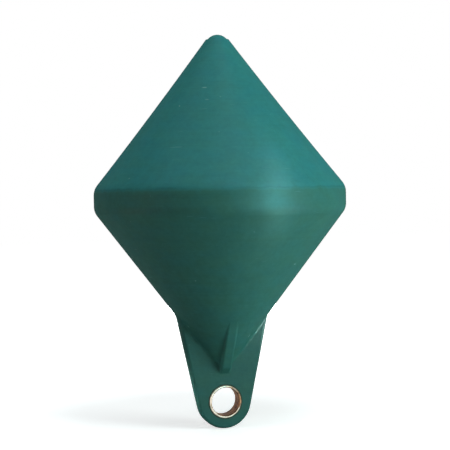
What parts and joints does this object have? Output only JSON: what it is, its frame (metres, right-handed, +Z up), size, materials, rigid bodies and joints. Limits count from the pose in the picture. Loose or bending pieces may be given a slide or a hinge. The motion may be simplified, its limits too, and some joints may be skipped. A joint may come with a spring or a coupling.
{
  "type": "double-cone navigation buoy",
  "caption": "Moulded double-cone marker buoy with a rounded belt, a small domed plug at its tip and a flat ribbed mooring tail with a metal-lined eye.",
  "frame": {"origin": "on the hull's axis at mid-height of its belt, which is where the moored buoy floats", "axes": "+Z up along the hull's axis to the plug, +Y along the mooring eye's axis, tail flat in the XZ plane"},
  "size_m": [0.3999, 0.4, 0.6266],
  "materials": {
    "hull": "rotationally moulded polyethylene, satin",
    "plug": "moulded polyethylene, satin",
    "bush": "copper alloy, rolled and dulled"
  },
  "bodies": {
    "root": {"hull": "hull", "filling_plug": "plug", "eye_bush": "bush"}
  },
  "joints": []
}
